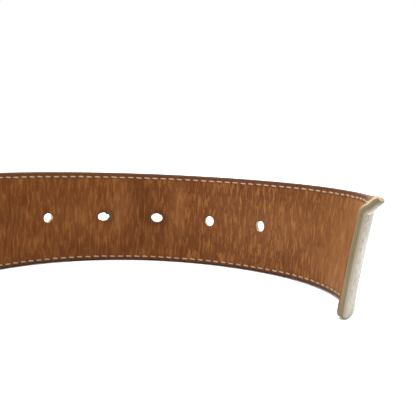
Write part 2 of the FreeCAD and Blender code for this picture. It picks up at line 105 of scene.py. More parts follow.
# marks of use, and painted light: along from the first hole, height, half length, half height (mm), strength
marks = {
    "from": 500.0 * mm,       # no marks between the buckle and here
    "rimReach": 2.0 * mm,
    "earTop": 6.0 * mm,       # the bent corner's upper edge gets a painted highlight over this much of the tip
    "dark": ((44.0, 24.0, 9.0, 16.0, 0.55), (53.5, 17.0, 4.0, 6.0, 0.45), (44.0, 33.0, 6.0, 7.0, 0.30),
             (40.0, 8.0, 9.0, 7.0, 0.30), (29.5, 21.0, 2.6, 4.5, 0.40), (-17.0, 23.0, 3.5, 4.0, 0.55),
             (-22.0, 19.0, 3.0, 5.0, 0.35), (22.0, 6.0, 10.0, 4.0, 0.30), (61.0, 8.0, 3.0, 7.0, 0.30),
             (84.0, 24.0, 6.0, 6.0, 0.15), (70.0, 14.0, 8.0, 5.0, 0.22), (4.0, 5.0, 12.0, 4.0, 0.18)),
    # the wide pale marks towards the tip are painted light on the part of the lining that turns to the lamp;
    # the narrow ones are rubbed wear
    "pale": ((174.0, 38.0, 22.0, 12.0, 0.75), (168.0, 6.0, 22.0, 12.0, 0.60), (150.0, 20.0, 38.0, 26.0, 0.44),
             (88.0, 22.0, 22.0, 24.0, 0.20), (60.5, 28.0, 2.5, 12.0, 0.35), (56.8, 12.0, 1.0, 10.0, 0.30),
             (34.0, 30.0, 5.0, 9.0, 0.22), (110.0, 22.0, 12.0, 10.0, 0.18), (32.0, 19.0, 1.2, 5.5, 0.40),
             (12.0, 20.0, 8.0, 6.0, 0.15)),
    # hole, direction in degrees (0 is towards the tip), spread, reach in mm, strength
    "rims": ((1, 15.0, 55.0, 1.3, 1.0), (1, 120.0, 30.0, 0.5, 0.45), (2, 170.0, 75.0, 1.0, 0.75),
             (2, -60.0, 40.0, 0.6, 0.5), (2, 60.0, 30.0, 0.5, 0.6), (0, 200.0, 50.0, 0.4, 0.2),
             (3, 90.0, 60.0, 0.4, 0.25)),
}


def planRuns():
    x, y, heading = barAxis.x - belt["barOffset"], barAxis.y, -math.pi / 2
    found = [(0.0, x, y, heading, None)]
    start = belt["straight"]
    y -= start
    for radius, length in belt["bends"]:
        found.append((start, x, y, heading, radius))
        turned = heading - length / radius
        x += radius * (math.sin(heading) - math.sin(turned))
        y -= radius * (math.cos(heading) - math.cos(turned))
        heading = turned
        start += length
    return found, start


runs, beltLength = planRuns()
firstHole = beltLength - holes["toTip"] - (holes["count"] - 1) * holes["spacing"]
middle = belt["width"] / 2


def station(s):
    start, x, y, heading, radius = [r for r in runs if r[0] <= max(s, 0.0)][-1]
    along = s - start
    if radius is None:
        return x + along * math.cos(heading), y + along * math.sin(heading), heading
    turned = heading - along / radius
    return (x + radius * (math.sin(heading) - math.sin(turned)),
            y - radius * (math.cos(heading) - math.cos(turned)), turned)


def smooth(t):
    t = min(1.0, max(0.0, t))
    return t * t * (3 - 2 * t)


# where a point of the strap lies: distance from the bar, offset outwards, height on the width
def strapPoint(s, offset, z):
    x, y, heading = station(s)
    nx, ny = -math.sin(heading), math.cos(heading)
    grown = smooth((s - beltLength + tipShape["length"]) / tipShape["length"])
    ear = smooth((s - beltLength + tipShape["earLength"]) / tipShape["earLength"])
    free = smooth((s - tipShape["waveFrom"]) / tipShape["waveGrows"])
    waveLong, waveTall = tipShape["waveSize"]
    offset += tipShape["wave"] * free * noise.noise(Vector((s / waveLong, z / waveTall, 3.7)))
    fromMiddle = z - middle
    away, up, lean = 0.0, z, 0.0
    if grown > 0:
        away, up, steps = tipShape["outwards"] * grown, middle + tipShape["lift"] * grown, tipShape["steps"]
        for i in range(steps + 1):
            height = fromMiddle * min(1.0, (i + 0.5) / steps)
            bent = ear * smooth((height - tipShape["earFrom"]) / tipShape["earBend"])
            lean = grown * (tipShape["lean"] + tipShape["cup"] * height / middle)
            lean = math.radians(lean + tipShape["earAngle"] * bent)
            if i < steps:
                run = fromMiddle / steps * (1 + tipShape["earStretch"] * bent)
                away += run * math.sin(lean)
                up += run * math.cos(lean)
    away += offset * math.cos(lean)
    return Vector((x + nx * away, y + ny * away, up - offset * math.sin(lean)))


# how far the strap's edge stands in from the full width at distance s from the bar
def inset(s):
    return belt["narrowInset"] * (1 - smooth((s - belt["narrowUntil"]) / belt["taper"]))


def spread(a, b, step):
    count = max(1, round((b - a) / step))
    return [a + (b - a) * i / count for i in range(count)]


# grid lines along the strap: fine round the holes and the tip, coarser elsewhere
def alongLines(first, stops):
    corner, fineFrom, turns = belt["tipCorner"], belt["fineFrom"], 9
    last = beltLength - corner
    kept = sorted({first, *[p for p in stops if first < p < last], fineFrom, last})
    lines = []
    for a, b in zip(kept, kept[1:]):
        lines += spread(a, b, belt["fineStep"] if a >= fineFrom else belt["step"])
    return lines + [last + corner * math.sin(math.pi / 2 * i / turns) for i in range(turns + 1)]


# grid lines across the strap, close together beside its edges
def acrossLines(stops, trim):
    low, high = trim, belt["width"] - trim
    near = [low, low + 0.1 * mm, low + 0.25 * mm, low + 0.5 * mm]
    far = [high - d + low for d in reversed(near)]
    kept = sorted({near[-1], far[0], *stops})
    lines = near[:-1]
    for a, b in zip(kept, kept[1:]):
        lines += spread(a, b, belt["stepUp"])
    return lines + far


def holeMarks():
    patch = holes["patch"]
    found = []
    for i in range(holes["count"]):
        centre = firstHole + i * holes["spacing"]
        found += [centre - patch, centre + patch]
    return found


# the edge of hole i, as seen on the strap, at an angle about its centre
def holeRim(i, angle):
    halfLength, halfHeight, shift, worn = holes["shapes"][i]
    ragged = 1 + holes["ragged"] * noise.noise(Vector((math.cos(angle) * 1.6, math.sin(angle) * 1.6, i * 5.0)))
    for hole, towards, width, share in holes["fibres"]:
        if hole == i:
            turn = (math.degrees(angle) - towards + 180) % 360 - 180
            ragged -= share * math.exp(-(turn / width) ** 2)
    return (firstHole + i * holes["spacing"] + (shift + halfLength * math.cos(angle) * ragged) * mm,
            middle + halfHeight * math.sin(angle) * ragged * mm)


# distance to the nearest hole's edge, and that hole's wear
def holeDistance(s, z):
    i = min(holes["count"] - 1, max(0, round((s - firstHole) / holes["spacing"])))
    halfLength, halfHeight, shift, worn = holes["shapes"][i]
    ds = s - firstHole - i * holes["spacing"] - shift * mm
    dz = z - middle
    away = math.hypot(ds, dz)
    if away < 1e-7:
        return 0.0, worn, i
    edge = mm / math.hypot(ds / away / halfLength, dz / away / halfHeight)
    return away - edge, worn, i


def edgeDistance(s, z, trim):
    low = inset(s) + trim
    side = min(z - low, belt["width"] - low - z)
    corner = belt["tipCorner"]
    beyond = s - (beltLength - corner)
    if beyond > 0:
        inner = min(z, belt["width"] - z)
        if inner < corner:
            return corner - trim - math.hypot(beyond, corner - inner)
        return min(side, beltLength - s)
    return side


# a flat sheet in (s, z) as points and faces, windows left out and the prong's holes let in
def flatGrid(sLines, zLines, windows):
    points, faces, index = [], [], {}

    def at(i, j):
        if (i, j) not in index:
            index[(i, j)] = len(points)
            points.append((sLines[i], zLines[j]))
        return index[(i, j)]

    patch = holes["patch"]
    centres = [firstHole + k * holes["spacing"] for k in range(holes["count"])]
    squares = [(c - patch, c + patch, middle - patch, middle + patch) for c in centres]
    for i in range(len(sLines) - 1):
        for j in range(len(zLines) - 1):
            cs = (sLines[i] + sLines[i + 1]) / 2
            cz = (zLines[j] + zLines[j + 1]) / 2
            if any(a < cs < b and c < cz < d for a, b, c, d in squares + list(windows)):
                continue
            faces.append((at(i, j), at(i + 1, j), at(i + 1, j + 1), at(i, j + 1)))
    for k, (a, b, c, d) in enumerate(squares):
        i0, i1 = [min(range(len(sLines)), key=lambda i: abs(sLines[i] - v)) for v in (a, b)]
        j0, j1 = [min(range(len(zLines)), key=lambda j: abs(zLines[j] - v)) for v in (c, d)]
        ring = [at(i, j0) for i in range(i0, i1)] + [at(i1, j) for j in range(j0, j1)]
        ring += [at(i, j1) for i in range(i1, i0, -1)] + [at(i0, j) for j in range(j1, j0, -1)]
        centre = ((a + b) / 2, (c + d) / 2)
        square = [points[n] for n in ring]
        for part in holes["rings"]:
            inner = []
            for s, z in square:
                rimS, rimZ = holeRim(k, math.atan2(z - centre[1], s - centre[0]))
                inner.append(len(points))
                points.append((s + (rimS - s) * part, z + (rimZ - z) * part))
            for n in range(len(ring)):
                m = (n + 1) % len(ring)
                faces.append((ring[n], ring[m], inner[m], inner[n]))
            ring = inner
    return points, faces


# marks from 0 to 1: dark ones left by use, pale ones that are partly rubbed wear and partly painted light, and
# the pressed or torn rim of a hole
def marksAt(s, z):
    found = {"dark": 0.0, "pale": 0.0}
    for kind in found:
        for at, height, length, tall, strength in marks[kind]:
            away = ((s - firstHole - at * mm) / (length * mm)) ** 2 + ((z - height * mm) / (tall * mm)) ** 2
            found[kind] += strength * math.exp(-away)
    rim = 0.0
    distance, worn, i = holeDistance(s, z)
    if distance < marks["rimReach"]:
        shift = holes["shapes"][i][2]
        angle = math.atan2(z - middle, s - firstHole - i * holes["spacing"] - shift * mm)
        for hole, towards, width, reach, strength in marks["rims"]:
            if hole == i:
                turn = (math.degrees(angle) - towards + 180) % 360 - 180
                rim += strength * math.exp(-(turn / width) ** 2 - (distance / (reach * mm)) ** 2)
    return min(1.0, found["dark"]), min(1.0, found["pale"]), min(1.0, rim)


# how far a face drops back at this distance from a rounded edge
def rounding(distance, radius):
    if distance >= radius:
        return 0.0
    return radius - math.sqrt(max(0.0, radius * radius - (radius - max(0.0, distance)) ** 2))


def addObject(name, data):
    made = bpy.data.objects.new(name, data)
    bpy.context.scene.collection.objects.link(made)
    return made


# a smooth piece with one look, and a map from each list of values for its points
def simplePiece(name, verts, faces, maps, look):
    mesh = bpy.data.meshes.new(name)
    mesh.from_pydata(verts, [], faces)
    for label, values in maps.items():
        found = [c for loop in mesh.loops for c in values[loop.vertex_index]]
        mesh.uv_layers.new(name=label).data.foreach_set("uv", found)
    for poly in mesh.polygons:
        poly.use_smooth = True
    mesh.materials.append(looks[look])
    return addObject(name, mesh)


# a leather layer from a flat grid: two faces, walls round every edge, and maps for its materials
# (looks for the faces and the walls, and one more if the inner face has its own)
def layerPiece(name, grid, place, layer, trim, radii, lookNames, relief=None):
    flat, quads = grid
    total = len(flat)
    front, back = layer
    shaped = []
    for s, z in flat:
        low = inset(abs(s))
        beyond = s - (beltLength - belt["tipCorner"])
        if beyond > 0:
            low = belt["tipCorner"] - math.sqrt(max(0.0, belt["tipCorner"] ** 2 - beyond ** 2))
        z = middle + (z - middle) * (middle - low) / middle
        fromEdge = edgeDistance(s, z, trim)
        fromHole, worn, i = holeDistance(s, z)
        shaped.append((s, z, fromEdge, fromHole, worn))
    verts = []
    for side, (base, sign, radius) in enumerate(((front, 1, radii[0]), (back, -1, radii[1]))):
        for s, z, fromEdge, fromHole, worn in shaped:
            drop = max(rounding(fromEdge, radius), rounding(fromHole, radius * 0.7))
            if relief and side == 0:
                drop += relief(s, z)
            verts.append(place(s, base + sign * drop, z))
    faces = [tuple(reversed(q)) for q in quads] + [tuple(n + total for n in q) for q in quads]
    sides = {(a, b): True for q in quads for a, b in zip(q, q[1:] + q[:1])}
    rim = [(a, b) for a, b in sides if (b, a) not in sides]
    faces += [(a, b, b + total, a + total) for a, b in rim]
    mesh = bpy.data.meshes.new(name)
    mesh.from_pydata(verts, [], faces)
    found = [marksAt(s, z) if s > marks["from"] else (0.0, 0.0, 0.0) for s, z, *rest in shaped]
    maps = {"strap": [], "wear": [], "marks": [], "rims": []}
    wallStart, inner = 2 * len(quads), 2 if len(lookNames) > 2 else 0
    for poly in mesh.polygons:
        wall = poly.index >= wallStart
        poly.material_index = 1 if wall else inner if poly.index < len(quads) else 0
        poly.use_smooth = True
        for v in poly.vertices:
            s, z, fromEdge, fromHole, worn = shaped[v % total]
            dark, pale, rimMark = found[v % total]
            if wall:
                # painted highlight: the cut edge along the top of the bent corner is given the pale mark
                ear = s > beltLength - marks["earTop"] and z > belt["width"] - belt["tipCorner"]
                pale = 1.0 if ear and s < beltLength - belt["tipCorner"] / 2 else 0.0
                maps["strap"] += (s + z, front if v < total else back)
                maps["wear"] += (s, 1.0 if fromHole < 0.1 * mm else 0.0)
            else:
                maps["strap"] += (s, z)
                maps["wear"] += (fromEdge, fromHole + (1 - worn) * holes["cleanRim"])
            maps["marks"] += (dark, pale)
            maps["rims"] += (rimMark, worn)
    for label, values in maps.items():
        mesh.uv_layers.new(name=label).data.foreach_set("uv", values)
    mesh.set_sharp_from_angle(angle=math.radians(50))
    for look in lookNames:
        mesh.materials.append(looks[look])
    return addObject(name, mesh)


# a shader group; an input without a value is a vector, everything else is a number
def makeGroup(name, inputs, outputs):
    group = bpy.data.node_groups.new(name, "ShaderNodeTree")
    for label, value in inputs.items():
        kind = "NodeSocketVector" if value is None else "NodeSocketFloat"
        socket = group.interface.new_socket(name=label, in_out="INPUT", socket_type=kind)
        if value is not None:
            socket.default_value = value
    for label in outputs:
        group.interface.new_socket(name=label, in_out="OUTPUT", socket_type="NodeSocketFloat")
    return group, group.nodes.new("NodeGroupInput").outputs, group.nodes.new("NodeGroupOutput")


# inputs of a shader node, linked or set
def feed(tree, made, inputs):
    for key, value in inputs.items():
        if isinstance(value, bpy.types.NodeSocket):
            tree.links.new(value, made.inputs[key])
        else:
            made.inputs[key].default_value = value
    return made


def node(tree, kind, inputs, **settings):
    made = tree.nodes.new("ShaderNode" + kind)
    for key, value in settings.items():
        setattr(made, key, value)
    return feed(tree, made, inputs)


def math2(tree, operation, a, b=0.0):
    return node(tree, "Math", {0: a, 1: b}, operation=operation).outputs[0]


def times(tree, a, b):
    return math2(tree, "MULTIPLY", a, b)


# a sum of values, each with its share
def weighted(tree, *pairs):
    total = None
    for value, share in pairs:
        part = times(tree, value, share)
        total = part if total is None else math2(tree, "ADD", total, part)
    return total


def band(tree, value, low, high, toLow=0.0, toHigh=1.0):
    made = node(tree, "MapRange", {"Value": value, "From Min": low, "From Max": high,
                                   "To Min": toLow, "To Max": toHigh}, interpolation_type="SMOOTHSTEP")
    return made.outputs["Result"]


def mixColour(tree, factor, a, b, blend="MIX"):
    made = node(tree, "Mix", {"Factor": factor}, data_type="RGBA", blend_type=blend)
    for socket, value in ((made.inputs[6], a), (made.inputs[7], b)):
        if isinstance(value, bpy.types.NodeSocket):
            tree.links.new(value, socket)
        else:
            socket.default_value = (*value, 1.0)
    return made.outputs[2]


def scaled(tree, vector, x, y, z=1.0):
    return node(tree, "Mapping", {"Vector": vector, "Scale": (x, y, z)}).outputs["Vector"]


def noiseOf(tree, vector, scale, detail=3.0, rough=0.55, distortion=0.0):
    made = node(tree, "TexNoise", {"Vector": vector, "Scale": scale, "Detail": detail,
                                   "Roughness": rough, "Distortion": distortion})
    return made.outputs["Fac"]


# creases that run across the strap, from a flat map of it: soft height, and thin lines along the folds
def wrinkleGroup():
    inputs = {"Map": None, "Closeness": 420.0, "Run": 62.0, "Wander": 0.0012}
    tree, given, out = makeGroup("Strap Creases", inputs, ("Height", "Lines"))
    slow = node(tree, "VectorMath", {0: given["Map"], 1: (210.0, 260.0, 1.0)}, operation="MULTIPLY")
    warp = node(tree, "TexNoise", {"Vector": slow.outputs[0], "Scale": 1.0, "Detail": 2.0})
    centred = node(tree, "VectorMath", {0: warp.outputs["Color"], 1: (0.5, 0.5, 0.5)}, operation="SUBTRACT")
    pushed = node(tree, "VectorMath", {0: centred.outputs[0], "Scale": given["Wander"]}, operation="SCALE")
    bent = node(tree, "VectorMath", {0: given["Map"], 1: pushed.outputs[0]}, operation="ADD")
    shape = node(tree, "CombineXYZ", {"X": given["Closeness"], "Y": given["Run"], "Z": 1.0})
    wide = node(tree, "VectorMath", {0: bent.outputs[0], 1: shape.outputs[0]}, operation="MULTIPLY")
    first = noiseOf(tree, wide.outputs[0], 1.0, 2.5, 0.5)
    away = math2(tree, "ABSOLUTE", math2(tree, "SUBTRACT", first, 0.5))
    feed(tree, out, {"Height": first, "Lines": band(tree, away, 0.0, 0.075, 1.0, 0.0)})
    return tree


# pores and small speckle of leather, paper and thread
def grainGroup():
    tree, given, out = makeGroup("Fine Grain", {"Map": None, "Scale": 1500.0}, ("Height", "Speckle"))
    pores = node(tree, "TexVoronoi", {"Vector": given["Map"], "Scale": given["Scale"], "Randomness": 1.0})
    speck = noiseOf(tree, given["Map"], given["Scale"], 3.0, 0.7)
    pitted = band(tree, pores.outputs["Distance"], 0.0, 0.45)
    feed(tree, out, {"Height": weighted(tree, (pitted, 0.6), (speck, 0.4)), "Speckle": speck})
    return tree


# soft dark band beside an edge, from the distance to it
def rimGroup():
    inputs = {"Distance": 0.0, "Reach": 0.002, "Uneven": 0.5}
    tree, given, out = makeGroup("Rim Shade", inputs, ("Mask", "Line"))
    moved = times(tree, given["Reach"], math2(tree, "ADD", given["Uneven"], 0.5))
    fine = times(tree, given["Reach"], 0.28)
    for label, reach in (("Mask", moved), ("Line", fine)):
        feed(tree, out, {label: band(tree, given["Distance"], 0.0, reach, 1.0, 0.0)})
    return tree


# fine scratches, dull patches and tarnish of handled metal
def metalGroup():
    tree, given, out = makeGroup("Handled Metal", {"Map": None, "Scale": 260.0},
                                 ("Tarnish", "Roughness", "Height"))
    patch = noiseOf(tree, given["Map"], given["Scale"], 5.0, 0.65)
    drawn = node(tree, "VectorMath", {0: given["Map"], 1: (700.0, 700.0, 6000.0)}, operation="MULTIPLY")
    lines = noiseOf(tree, drawn.outputs[0], 1.0, 2.0, 0.5)
    rough = weighted(tree, (patch, 0.22), (lines, 0.18))
    feed(tree, out, {"Tarnish": band(tree, patch, 0.48, 0.72), "Roughness": math2(tree, "ADD", rough, 0.10),
                     "Height": math2(tree, "ADD", lines, patch)})
    return tree


groups = {"wrinkles": wrinkleGroup(), "grain": grainGroup(), "rim": rimGroup(), "metal": metalGroup()}
print("shader groups made")


def grouped(tree, key, inputs):
    made = tree.nodes.new("ShaderNodeGroup")
    made.node_tree = groups[key]
    return feed(tree, made, inputs).outputs


def startMaterial(name):
    material = bpy.data.materials.new(name)
    material.use_nodes = True
    tree = material.node_tree
    return material, tree, tree.nodes["Principled BSDF"]


def uvOf(tree, name):
    return node(tree, "UVMap", {}, uv_map=name).outputs["UV"]


# a map's two values, as X and Y
def valuesOf(tree, name):
    return node(tree, "SeparateXYZ", {0: uvOf(tree, name)}).outputs


def bumpInto(tree, shader, height, strength, distance):
    bump = node(tree, "Bump", {"Height": height, "Strength": strength, "Distance": distance})
    tree.links.new(bump.outputs["Normal"], shader.inputs["Normal"])


liningWear = {
    # distances from the buckle's bar, from none to full
    "ripples": (700.0 * mm, 775.0 * mm),
    "edgeFades": (beltLength - 26.0 * mm, beltLength - 4.0 * mm),
    # where the painted highlight on the bent upper corner lies
    "ear": (beltLength - 8.0 * mm, beltLength - 2.0 * mm),
    "earHeight": (37.8 * mm, 40.0 * mm),
    "edgeReach": 3.2 * mm,     # of the dark band beside the edges
    "holeReach": 3.6 * mm,     # of the stain round a hole
    "grooveReach": 0.6 * mm,   # the thread presses the leather in
}
liningLook = {
    "light": (0.180, 0.0645, 0.0140),
    "dark": (0.086, 0.0232, 0.0040),
    # painted shade in the fold lines
    "creaseShade": (0.058, 0.0125, 0.0024),
    # pale: rubbed wear, and painted light towards the tip
    "pale": (0.262, 0.118, 0.043),
    # painted highlight on the crests between the folds
    "crestHighlight": (0.262, 0.116, 0.036),
    "earHighlight": (0.330, 0.262, 0.172),
    "deep": (0.036, 0.0105, 0.0030),
    "band": (0.070, 0.0205, 0.0085),
    "edge": (0.042, 0.0145, 0.0055),
    "torn": (0.045, 0.050, 0.038),
    "roughness": (0.46, 0.66),
    "specular": 0.08,
    # closeness and run of the creases, per metre, and how far they wander
    "fine": {"Closeness": 1050.0, "Run": 150.0, "Wander": 0.0013},
    "long": {"Closeness": 560.0, "Run": 120.0, "Wander": 0.0022},
    "clouds": (46.0, 30.0),
    "patches": (160.0, 70.0),
    "grain": 1500.0,
    "relief": 0.5 * mm,
}


# waxy tan lining leather: creases across the strap, darker where handled and at its edges
def liningMaterial():
    material, tree, shader = startMaterial("tanLining")
    strap = uvOf(tree, "strap")
    wear = valuesOf(tree, "wear")
    used = valuesOf(tree, "marks")
    torn = valuesOf(tree, "rims")
    fine = grouped(tree, "wrinkles", {"Map": strap, **liningLook["fine"]})
    creases = grouped(tree, "wrinkles", {"Map": strap, **liningLook["long"]})
    grain = grouped(tree, "grain", {"Map": strap, "Scale": liningLook["grain"]})
    clouds = noiseOf(tree, scaled(tree, strap, *liningLook["clouds"]), 1.0, 3.0)
    patches = noiseOf(tree, scaled(tree, strap, *liningLook["patches"]), 1.0, 3.0)
    tone = weighted(tree, (fine["Height"], 0.90), (creases["Height"], 0.50), (clouds, 0.45), (patches, 0.30),
                    (grain["Speckle"], 0.35))
    colour = mixColour(tree, band(tree, tone, 0.92, 1.60), liningLook["dark"], liningLook["light"])
    place = node(tree, "SeparateXYZ", {0: strap}).outputs
    # painted shade along the fold lines and painted highlight on the crests between them, strong where the tip
    # has been flexed
    rippled = band(tree, place["X"], *liningWear["ripples"], 0.25, 0.95)
    foldShadeStrength = times(tree, band(tree, clouds, 0.30, 0.70, 0.35, 1.0), rippled)
    colour = mixColour(tree, times(tree, fine["Lines"], rippled), colour, liningLook["creaseShade"])
    foldShade = times(tree, creases["Lines"], times(tree, foldShadeStrength, 1.1))
    colour = mixColour(tree, foldShade, colour, liningLook["creaseShade"])
    crestHighlights = times(tree, band(tree, fine["Height"], 0.50, 0.72, 0.0, 0.42), rippled)
    colour = mixColour(tree, crestHighlights, colour, liningLook["crestHighlight"])
    # rubbed pale (the wide pale marks towards the tip are painted light), or darkened by hands
    paleWearAndLight = times(tree, used["Y"], band(tree, patches, 0.25, 0.75, 0.55, 1.0))
    colour = mixColour(tree, paleWearAndLight, colour, liningLook["pale"])
    handled = times(tree, used["X"], band(tree, tone, 0.9, 1.5, 1.0, 0.55))
    colour = mixColour(tree, times(tree, handled, 0.62), colour, liningLook["deep"])
    # the stained edges, worn off at the tip
    rim = grouped(tree, "rim", {"Distance": wear["X"], "Reach": liningWear["edgeReach"], "Uneven": clouds})
    kept = band(tree, place["X"], *liningWear["edgeFades"], 1.0, 0.0)
    for mask, share, look in (("Mask", 0.80, "band"), ("Line", 0.85, "edge")):
        stained = times(tree, times(tree, rim[mask], share), kept)
        colour = mixColour(tree, stained, colour, liningLook[look])
    # painted highlight: the upper corner of the bent tip turns up to the light, so its face is mixed towards a
    # near-white tan
    raised = math2(tree, "ADD", place["Y"], times(tree, patches, 0.002))
    ear = times(tree, band(tree, place["X"], *liningWear["ear"]), band(tree, raised, *liningWear["earHeight"]))
    colour = mixColour(tree, ear, colour, liningLook["earHighlight"])
    stain = grouped(tree, "rim", {"Distance": wear["Y"], "Reach": liningWear["holeReach"], "Uneven": patches})
    colour = mixColour(tree, times(tree, stain["Mask"], 0.55), colour, liningLook["deep"])
    ragged = math2(tree, "ADD", torn["X"], times(tree, grain["Speckle"], 0.5))
    colour = mixColour(tree, band(tree, ragged, 0.55, 0.85), colour, liningLook["torn"])
    low, high = liningLook["roughness"]
    feed(tree, shader, {"Base Color": colour, "Roughness": band(tree, tone, 1.0, 1.7, high, low),
                        "Specular IOR Level": liningLook["specular"]})
    row = math2(tree, "ABSOLUTE", math2(tree, "SUBTRACT", wear["X"], belt["stitchMargin"]))
    groove = band(tree, row, 0.0, liningWear["grooveReach"], -0.55, 0.0)
    height = weighted(tree, (creases["Height"], 1.3), (grain["Height"], 0.10), (fine["Height"], 0.55),
                      (creases["Lines"], -0.10), (groove, 1.0))
    bumpInto(tree, shader, height, 0.60, liningLook["relief"])
    return material


creamLook = {
    "light": (0.392, 0.363, 0.300),
    "shade": (0.262, 0.241, 0.202),
    "violet": (0.215, 0.204, 0.206),
    "fleck": (0.150, 0.137, 0.108),
    "edge": (0.190, 0.160, 0.108),
    "folds": {"Closeness": 210.0, "Run": 120.0, "Wander": 0.0020},
    # closeness of each mottling along and across the strap, per metre
    "clouds": (90.0, 110.0),
    "patches": (380.0, 430.0),
    "flecks": (420.0, 820.0),
    "grain": 900.0,
    "edgeReach": 2.4 * mm,
    "holeReach": 1.6 * mm,
    "grooveReach": 0.6 * mm,
    "soilReach": 0.7 * mm,      # dirt kept along the stitching
    "keeperGroove": 1.4 * mm,   # a creased line beside the keepers' edges
    "relief": 0.4 * mm,
}


# cream finished leather with faint grey-violet patches and small worn flecks
def creamMaterial(name, groove):
    material, tree, shader = startMaterial(name)
    strap = uvOf(tree, "strap")
    wear = valuesOf(tree, "wear")
    folds = grouped(tree, "wrinkles", {"Map": strap, **creamLook["folds"]})
    grain = grouped(tree, "grain", {"Map": strap, "Scale": creamLook["grain"]})
    clouds = noiseOf(tree, scaled(tree, strap, *creamLook["clouds"]), 1.0, 6.0, 0.72)
    patches = noiseOf(tree, scaled(tree, strap, *creamLook["patches"]), 1.0, 5.0, 0.65, 0.4)
    flecks = noiseOf(tree, scaled(tree, strap, *creamLook["flecks"]), 1.0, 4.0, 0.7)
    colour = mixColour(tree, band(tree, clouds, 0.30, 0.70), creamLook["shade"], creamLook["light"])
    colour = mixColour(tree, band(tree, patches, 0.48, 0.66, 0.0, 0.42), colour, creamLook["violet"])
    colour = mixColour(tree, band(tree, flecks, 0.56, 0.68, 0.0, 0.75), colour, creamLook["fleck"])
    rim = grouped(tree, "rim", {"Distance": wear["X"], "Reach": creamLook["edgeReach"], "Uneven": clouds})
    colour = mixColour(tree, times(tree, rim["Line"], 0.8), colour, creamLook["edge"])
    used = grouped(tree, "rim", {"Distance": wear["Y"], "Reach": creamLook["holeReach"], "Uneven": clouds})
    colour = mixColour(tree, times(tree, used["Mask"], 0.6), colour, creamLook["fleck"])
    row = math2(tree, "ABSOLUTE", math2(tree, "SUBTRACT", wear["X"], groove))
    soiled = times(tree, band(tree, row, 0.0, creamLook["soilReach"], 0.55, 0.0),
                   band(tree, clouds, 0.3, 0.7, 0.4, 1.0))
    colour = mixColour(tree, soiled, colour, creamLook["edge"])
    feed(tree, shader, {"Base Color": colour, "Roughness": band(tree, folds["Height"], 0.3, 0.7, 0.62, 0.42)})
    pressed = band(tree, row, 0.0, creamLook["grooveReach"], -0.6, 0.0)
    height = weighted(tree, (folds["Height"], 1.0), (grain["Height"], 0.35), (pressed, 1.0))
    bumpInto(tree, shader, height, 0.6, creamLook["relief"])
    return material


fleshLook = {
    "light": (0.330, 0.235, 0.140),
    "dark": (0.200, 0.132, 0.074),
    "nap": (900.0, 1500.0),
    "clouds": (120.0, 120.0),
    "grain": 2400.0,
    "specular": 0.1,
    "relief": 0.2 * mm,
}


# the unfinished inner side of the cream leather: short matted fibres
def fleshMaterial():
    material, tree, shader = startMaterial("leatherFlesh")
    strap = uvOf(tree, "strap")
    nap = noiseOf(tree, scaled(tree, strap, *fleshLook["nap"]), 1.0, 4.0, 0.7, 1.2)
    grain = grouped(tree, "grain", {"Map": strap, "Scale": fleshLook["grain"]})
    clouds = noiseOf(tree, scaled(tree, strap, *fleshLook["clouds"]), 1.0, 3.0)
    tone = weighted(tree, (nap, 0.6), (clouds, 0.4))
    colour = mixColour(tree, band(tree, tone, 0.35, 0.65), fleshLook["dark"], fleshLook["light"])
    feed(tree, shader, {"Base Color": colour, "Roughness": band(tree, grain["Speckle"], 0.3, 0.7, 0.95, 0.80),
                        "Specular IOR Level": fleshLook["specular"]})
    bumpInto(tree, shader, math2(tree, "ADD", nap, grain["Height"]), 0.6, fleshLook["relief"])
    return material


cutLook = {
    "khaki": (0.212, 0.173, 0.112),
    "olive": (0.140, 0.112, 0.064),
    "brown": (0.058, 0.0235, 0.0100),
    # the hole walls: pale leather with painted light from behind the holes
    "rawAndBacklit": (0.520, 0.430, 0.300),
    "earHighlight": (0.360, 0.300, 0.215),
    "specular": 0.06,
    "bareFrom": (790.0 * mm, 810.0 * mm),   # the painted edges are worn bare from here to the tip
    "fibres": (60.0, 5200.0),
    "grain": 2200.0,
    "relief": 0.2 * mm,
}


# cut edge of the layers: fine lines along it, painted dark but worn bare at the tip
def cutMaterial(name, tint):
    material, tree, shader = startMaterial(name)
    along = uvOf(tree, "strap")
    wear = valuesOf(tree, "wear")
    lines = noiseOf(tree, scaled(tree, along, *cutLook["fibres"]), 1.0, 3.0, 0.6)
    grain = grouped(tree, "grain", {"Map": along, "Scale": cutLook["grain"]})
    khaki, olive = [tuple(c * tint for c in cutLook[key]) for key in ("khaki", "olive")]
    colour = mixColour(tree, band(tree, lines, 0.38, 0.62), olive, khaki)
    colour = mixColour(tree, times(tree, grain["Speckle"], 0.35), colour, olive)
    colour = mixColour(tree, band(tree, wear["X"], *cutLook["bareFrom"]), cutLook["brown"], colour)
    # hole walls: pale raw leather, made brighter as painted light shining through from behind
    colour = mixColour(tree, wear["Y"], colour, cutLook["rawAndBacklit"])
    # painted highlight on the cut edge at the top of the bent corner, carried in the pale mark
    used = valuesOf(tree, "marks")
    colour = mixColour(tree, used["Y"], colour, cutLook["earHighlight"])
    feed(tree, shader, {"Base Color": colour, "Roughness": band(tree, lines, 0.3, 0.7, 0.72, 0.5),
                        "Specular IOR Level": cutLook["specular"]})
    bumpInto(tree, shader, weighted(tree, (lines, 1.0), (grain["Height"], 0.3)), 0.5, cutLook["relief"])
    return material


threadLook = {
    # light and dark
    "bobbin": ((0.335, 0.262, 0.172), (0.200, 0.148, 0.092)),
    "needle": ((0.460, 0.415, 0.315), (0.310, 0.270, 0.195)),
    "twist": 900.0,
    "grain": 2600.0,
    "relief": 0.2 * mm,
}


